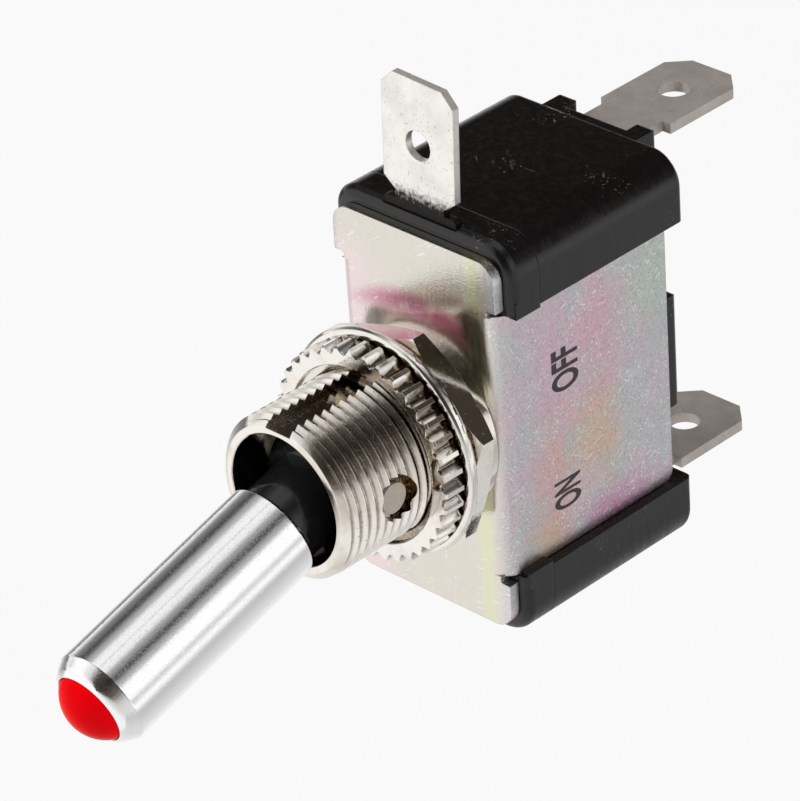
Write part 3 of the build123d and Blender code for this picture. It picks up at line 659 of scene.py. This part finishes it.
def make_bushing():
    """The neck with its thread, keyway and cross holes, and the collar that is staked into the web."""
    envelope = bmesh.new()
    lip = 0.08 * mm
    outer = thread_radius + 0.05 * mm
    outline = [(bore_radius, mouth + lip), (bore_radius + lip, mouth), (mouth_radius - lip, mouth),
               (mouth_radius, mouth + lip * 0.6), (outer, mouth + mouth_chamfer), (outer, collar_front),
               (bore_radius, collar_front)]
    lathe(envelope, outline, neck_steps)
    keyway = cube((-keyway_width / 2, mouth - 1 * mm, keyway_floor),
                  (keyway_width / 2, keyway_end, thread_radius + 1 * mm))
    steps = [("INTERSECT", envelope), ("DIFFERENCE", keyway)]
    for side in (-1, 1):
        near, far = sorted((side * (cross_hole_floor - 0.1 * mm), side * (thread_radius + 1 * mm)))
        hole = rod(cross_hole_radius, near, far)
        bmesh.ops.translate(hole, vec=(0, -pin_depth + cross_hole_shift, 0), verts=hole.verts)
        steps.append(("DIFFERENCE", hole))
    bm = carved(threaded_blank(), steps)

    collar = bmesh.new()
    soft = 0.1 * mm
    shank, stake, stake_bore, stake_chamfer = 5.5 * mm, 6.0 * mm, 5.2 * mm, 0.15 * mm
    dish_depth = 0.86 * mm
    lathe(collar, [(bore_radius, collar_front), (collar_radius - soft, collar_front),
                   (collar_radius, collar_front + soft), (collar_radius, 0), (shank, 0),
                   (shank, web_thickness), (stake, web_thickness), (stake - stake_chamfer, stake_rear),
                   (stake_bore, stake_rear), (bore_radius, stake_rear - dish_depth)], small_steps)
    mesh = baked("collar", collar)
    bm.from_mesh(mesh)
    bpy.data.meshes.remove(mesh)
    piece("threaded_bushing", bm, bushing_nickel, "frame", ["bushing"])


def make_dress_nut():
    """The round nut: a smooth rim, a groove, and V-shaped flutes that run out at its flat front."""
    rim_front = dress_rear - rim_thickness
    flute_rear = rim_front - groove_width
    bore = thread_radius + 0.05 * mm
    recess, recess_depth, recess_chamfer = 6.5 * mm, 0.5 * mm, 0.05 * mm
    crest_chamfer, crest_chamfer_depth = 0.12 * mm, 0.14 * mm
    soft = 0.12 * mm
    rear = [(bore, dress_rear), (dress_radius - 3 * soft, dress_rear),
            (dress_radius - soft, dress_rear - 0.6 * soft), (dress_radius, dress_rear - 2.2 * soft),
            (dress_radius, rim_front + 2.6 * soft), (dress_radius - 0.4 * soft, rim_front + 1.5 * soft),
            (dress_radius - 1.3 * soft, rim_front + 0.6 * soft), (dress_radius - 2.6 * soft, rim_front),
            (groove_radius, rim_front), (groove_radius, flute_rear)]
    front = [(recess + recess_chamfer, dress_front), (recess, dress_front + recess_chamfer),
             (recess - 0.05 * mm, dress_front + 0.45 * mm), (bore, dress_front + recess_depth)]
    pitch = math.tau / flute_count
    half_land, half_floor = 0.17 * mm, 0.03 * mm
    land, floor = half_land / flute_crest, half_floor / flute_crest
    stations = ((-floor, 0), (floor, 0), (pitch / 4, 0.5), (pitch / 2 - land, 1), (pitch / 2 + land, 1),
                (3 * pitch / 4, 0.5))
    bm = bmesh.new()
    columns = []
    for step in range(flute_count):
        valley = flute_turn + step * pitch
        for angle, share in stations:
            radius = flute_valley + share * (flute_crest - flute_valley)
            outline = rear + [(radius, flute_rear), (radius, dress_front + crest_chamfer_depth),
                              (radius - crest_chamfer, dress_front)] + front
            way = Vector((math.sin(valley + angle), 0, math.cos(valley + angle)))
            columns.append([bm.verts.new(way * r + Vector((0, y, 0))) for r, y in outline])
    for first, second in zip(columns, columns[1:] + columns[:1]):
        for low in range(len(first)):
            high = (low + 1) % len(first)
            bm.faces.new((first[low], first[high], second[high], second[low]))
    piece("fluted_dress_nut", bm, fluted_nickel, "dress_nut", ["dress_nut"])


def at_lever():
    """The place of the lever's pieces, from a straight lever along -Y with its pivot at the origin."""
    return Matrix.Translation(pivot) @ Matrix.Rotation(lever_tilt, 4, "X")


def make_lever_tube():
    """The chromed tube with its stepped, rounded tip round the lamp."""
    bm = bmesh.new()
    start, tip = -tube_start, -tube_end
    shoulder = tip + tip_length
    wall, lip = 2.75 * mm, 3.6 * mm
    opening = lamp_radius + 0.03 * mm
    outside = [(0.3, start), (0.1, start - 0.08 * mm), (0, start - 0.25 * mm), (0, start - 0.35 * mm),
               (0, start - 0.6 * mm), (0, shoulder + 0.3 * mm), (0, shoulder + 0.08 * mm),
               (0, shoulder), (0.06, shoulder - 0.1 * mm), (0.12, shoulder - 0.2 * mm),
               (0.34, tip + 0.56 * mm), (0.42, tip + 0.42 * mm), (0.56, tip + 0.22 * mm),
               (0.78, tip + 0.07 * mm)]
    inside = [(opening + 0.06 * mm, tip), (opening, tip + 0.06 * mm), (opening, tip + lip),
              (wall, tip + lip)]
    outline = [(wall, start)] + [(lever_radius - inset * mm, y) for inset, y in outside] + inside
    lathe(bm, outline, tube_steps)
    bmesh.ops.transform(bm, matrix=at_lever(), verts=bm.verts)
    piece("chromed_tube", bm, finishes["lever_chrome"], "lever", ["lever_tube"])


def make_lamp():
    """The lamp's low red dome and its body inside the tube."""
    bm = bmesh.new()
    tip = -tube_end
    dome_radius = (lamp_radius ** 2 + lamp_stand_out ** 2) / (2 * lamp_stand_out)
    centre = tip - lamp_stand_out + dome_radius
    half = math.asin(lamp_radius / dome_radius)
    crown_steps = 14
    angles = [half * step / crown_steps for step in range(crown_steps + 1)]
    crown = [(dome_radius * math.sin(angle), centre - dome_radius * math.cos(angle))
             for angle in angles]
    flange_front, flange_rear = tip + 3.62 * mm, tip + 4.3 * mm
    body = [(lamp_radius, flange_front), (lamp_flange_radius, flange_front),
            (lamp_flange_radius, flange_rear), (0, flange_rear)]
    lathe(bm, crown + body, small_steps, closed=False)
    bmesh.ops.transform(bm, matrix=at_lever(), verts=bm.verts)
    piece("red_lamp", bm, finishes["red_lens"], "lever", ["led_lamp"])


def make_print():
    """The two words on the flange, for the lever's two places, as a thin layer of ink."""
    dark = tint(30, 28, 28)
    ink, tree, shader, place = new_material("black_ink", dark, 0.0, 0.45)
    worn = rise(tree, noise(tree, place, 2400.0, 3.0), 0.62, 0.75, 0.0, 0.4)
    tree.links.new(mix(tree, worn, dark, tint(110, 104, 104)), shader.inputs["Base Color"])
    for word, foot, low, high in words:
        curve = bpy.data.curves.new(word, "FONT")
        curve.body = word
        curve.offset = 0.024
        curve.extrude = 0.5
        text = placed(word, curve)
        bpy.context.view_layer.update()
        mesh = evaluated_mesh(text)
        bpy.data.objects.remove(text)
        bm = bmesh.new()
        bm.from_mesh(mesh)
        bmesh.ops.remove_doubles(bm, verts=bm.verts, dist=1e-5)
        left, right = min(v.co.x for v in bm.verts), max(v.co.x for v in bm.verts)
        bottom, top = min(v.co.y for v in bm.verts), max(v.co.y for v in bm.verts)
        bmesh.ops.translate(bm, vec=(-left, -bottom, 0), verts=bm.verts)
        scale = ((high - low) / (right - left), letter_height / (top - bottom), ink_thickness)
        bmesh.ops.scale(bm, vec=scale, verts=bm.verts)
        turn = Matrix(((0, 0, 1, 0), (0, -1, 0, 0), (1, 0, 0, 0), (0, 0, 0, 1)))
        bmesh.ops.transform(bm, matrix=turn, verts=bm.verts)
        bmesh.ops.translate(bm, vec=(flange_face + ink_lift, foot, low), verts=bm.verts)
        piece("print_" + word.lower(), bm, ink, "frame")


make_bushing()
make_dress_nut()
make_lever_tube()
make_lamp()
make_print()


def make_camera():
    """The photograph's viewpoint: a long lens aimed near the frame's origin, and a little rolled."""
    azimuth, elevation, roll = math.radians(45.866), math.radians(31.039), math.radians(-3.872)
    distance, right_shift, down_shift = 330.247 * mm, -1.516 * mm, -1.165 * mm
    focal_pixels, picture_width = 4940.178, 800
    back = Vector((math.sin(azimuth) * math.cos(elevation), -math.cos(azimuth) * math.cos(elevation),
                   math.sin(elevation)))
    level = Vector((math.cos(azimuth), math.sin(azimuth), 0))
    upright = back.cross(level)
    right = level * math.cos(roll) + upright * math.sin(roll)
    up = upright * math.cos(roll) - level * math.sin(roll)
    data = bpy.data.cameras.new("camera")
    data.sensor_fit = "HORIZONTAL"
    data.sensor_width = 36
    data.lens = focal_pixels / picture_width * data.sensor_width
    data.clip_start, data.clip_end = 0.01, 20
    camera = placed("camera", data)
    turn = Matrix((right, up, back)).transposed().to_4x4()
    eye = back * distance + right * right_shift - up * down_shift
    camera.matrix_world = Matrix.Translation(eye) @ turn
    bpy.context.scene.camera = camera


def seen_by_camera_or_gloss(tree):
    """1 for what the camera sees directly, in a reflection or through something clear."""
    ray = add(tree, "ShaderNodeLightPath").outputs
    shown = larger(tree, ray["Is Camera Ray"], ray["Is Glossy Ray"])
    return larger(tree, shown, ray["Is Transmission Ray"])


def make_world():
    """A pale even surround that gives soft light."""
    world = bpy.data.worlds.new("studio")
    bpy.context.scene.world = world
    world.use_nodes = True
    tree = world.node_tree
    tree.nodes.clear()
    light = add(tree, "ShaderNodeBackground", {"Color": (1, 1, 1, 1), "Strength": 0.75})
    pale = add(tree, "ShaderNodeBackground", {"Color": tint(248, 248, 248), "Strength": 1.0})
    links = {0: seen_by_camera_or_gloss(tree), 1: light.outputs[0], 2: pale.outputs[0]}
    shown = add(tree, "ShaderNodeMixShader", links)
    add(tree, "ShaderNodeOutputWorld", {0: shown.outputs[0]})


def make_floor():
    """A pale floor below the switch, which is held up by its bushing, with a faint shadow."""
    half_width, level = 6.0, -0.06
    bm = bmesh.new()
    bmesh.ops.create_grid(bm, x_segments=1, y_segments=1, size=half_width)
    bmesh.ops.translate(bm, vec=(0, 0, level), verts=bm.verts)
    floor = placed("floor", baked("floor", bm))
    material = bpy.data.materials.new("pale_floor")
    material.use_nodes = True
    tree = material.node_tree
    tree.nodes.clear()
    lit = add(tree, "ShaderNodeBsdfDiffuse", {"Color": tint(240, 240, 240)})
    pale = add(tree, "ShaderNodeEmission", {"Color": tint(246, 246, 246), "Strength": 1.0})
    share = times(tree, seen_by_camera_or_gloss(tree), 0.9)
    shown = add(tree, "ShaderNodeMixShader", {0: share, 1: lit.outputs[0], 2: pale.outputs[0]})
    add(tree, "ShaderNodeOutputMaterial", {0: shown.outputs[0]})
    floor.data.materials.append(material)
    floor.visible_glossy = False


# The studio as seen in polished metal: rings about the Y axis, as stops of degrees from +X towards +Z,
# a level of light, and a warmth from 0 to 1
studio_middle = [(-180, 0.18, 0), (-140, 0.95, 0), (-75, 0.72, 0), (-33, 0.55, 0), (-14, 1.05, 0),
                 (-1, 0.66, 0), (10, 1.08, 0), (31, 1.08, 0), (43, 0.42, 0), (57, 0.085, 0.1),
                 (70, 0.34, 0), (82, 0.88, 0), (92, 0.96, 0), (94, 0.5, 0), (96, 0.95, 0),
                 (108, 0.92, 0), (120, 0.42, 0), (138, 0.07, 0), (155, 0.19, 0), (180, 0.18, 0)]
studio_back = [(-180, 1.05, 0), (-100, 0.86, 0), (-75, 0.72, 0), (-33, 0.55, 0), (-14, 1.05, 0),
               (3, 0.95, 0.1), (14, 0.1, 0.9), (50, 0.05, 1), (112, 0.045, 1), (146, 0.04, 0.8),
               (158, 0.3, 0.6), (168, 0.9, 0.1), (180, 1.05, 0)]
studio_front = [(-180, 1.08, 0), (-60, 0.95, 0), (-15, 0.7, 0.1), (20, 0.1, 0.8), (50, 0.03, 0.8),
                (85, 0.07, 0.6), (115, 0.8, 0), (140, 1.08, 0), (180, 1.08, 0)]


def light_ring(tree, share, stops):
    """A ring of light round the object, from stops of (degrees, level, warmth)."""
    ramp = add(tree, "ShaderNodeValToRGB", {0: share})
    ramp.color_ramp.interpolation = "EASE"
    elements = ramp.color_ramp.elements
    for degrees, level, warmth in stops:
        element = elements.new(degrees / 360 + 0.5)
        element.color = (level, level * (1 - 0.22 * warmth), level * (1 - 0.38 * warmth), 1)
    elements.remove(elements[0])
    elements.remove(elements[-1])
    return ramp.outputs[0]


def make_tent():
    """A studio tent that only shows in reflections, as rings of light and dark about the Y axis."""
    bm = bmesh.new()
    bmesh.ops.create_uvsphere(bm, u_segments=48, v_segments=32, radius=0.6)
    tent = placed("tent", baked("tent", bm))
    tent.visible_camera = False
    tent.visible_diffuse = False
    tent.visible_shadow = False
    tent.visible_transmission = False
    material = bpy.data.materials.new("tent_cloth")
    material.use_nodes = True
    tree = material.node_tree
    tree.nodes.clear()
    place = add(tree, "ShaderNodeTexCoord").outputs["Object"]
    way = add(tree, "ShaderNodeVectorMath", {0: place}, operation="NORMALIZE").outputs[0]
    x, y, z = split(tree, way)
    share = plus(tree, times(tree, math_node(tree, "ARCTAN2", z, x), 1 / math.tau), 0.5)
    middle = light_ring(tree, share, studio_middle)
    back = light_ring(tree, share, studio_back)
    front = light_ring(tree, share, studio_front)
    colour = mix(tree, rise(tree, y, 0.46, 0.55), middle, back)
    colour = mix(tree, rise(tree, y, -0.25, -0.42), colour, front)
    glow = add(tree, "ShaderNodeEmission", {"Color": colour, "Strength": 1.0})
    add(tree, "ShaderNodeOutputMaterial", {0: glow.outputs[0]})
    tent.data.materials.append(material)


def make_lamps():
    """Two soft lamps, high on the left in front and on the right."""
    for name, place, power in (("key", (-0.45, -0.7, 0.6), 9.0), ("side", (0.8, -0.1, 0.5), 4.0)):
        data = bpy.data.lights.new(name, "AREA")
        data.size = 0.5
        data.energy = power
        lamp = placed(name, data)
        lamp.location = place
        lamp.rotation_mode = "QUATERNION"
        lamp.rotation_quaternion = Vector(place).to_track_quat("Z", "Y")
        lamp.visible_glossy = False


make_camera()
make_world()
make_floor()
make_tent()
make_lamps()
bpy.context.scene.view_settings.view_transform = "Standard"
